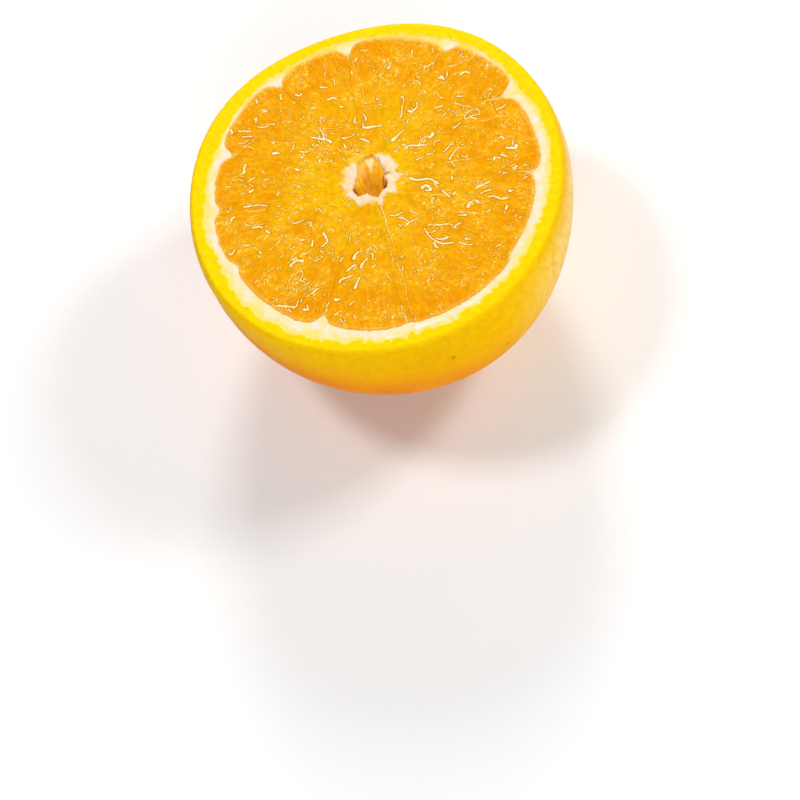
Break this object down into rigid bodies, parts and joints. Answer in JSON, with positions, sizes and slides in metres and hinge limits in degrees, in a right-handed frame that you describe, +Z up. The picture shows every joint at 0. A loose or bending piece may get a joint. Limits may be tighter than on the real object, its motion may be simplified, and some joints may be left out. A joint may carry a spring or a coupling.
{
  "type": "orange half",
  "caption": "Half of a round orange with smooth yellow-orange peel, cut across its segments, with a star-shaped hollow core, resting on its skin with the cut face up.",
  "frame": {"origin": "centre of the small flat resting spot, below the middle of the bounding box", "axes": "+Z up, square to the cut face and away from the skin that it rests on; -Y towards the side that the picture shows below the rim; +X to the right of it"},
  "size_m": [0.0758, 0.0752, 0.042],
  "materials": {
    "orange_fruit": "moist juicy orange flesh in segments, thin cream pith and glossy, finely dimpled yellow-orange peel"
  },
  "bodies": {
    "root": {"orange_half": "orange_fruit"}
  },
  "joints": []
}
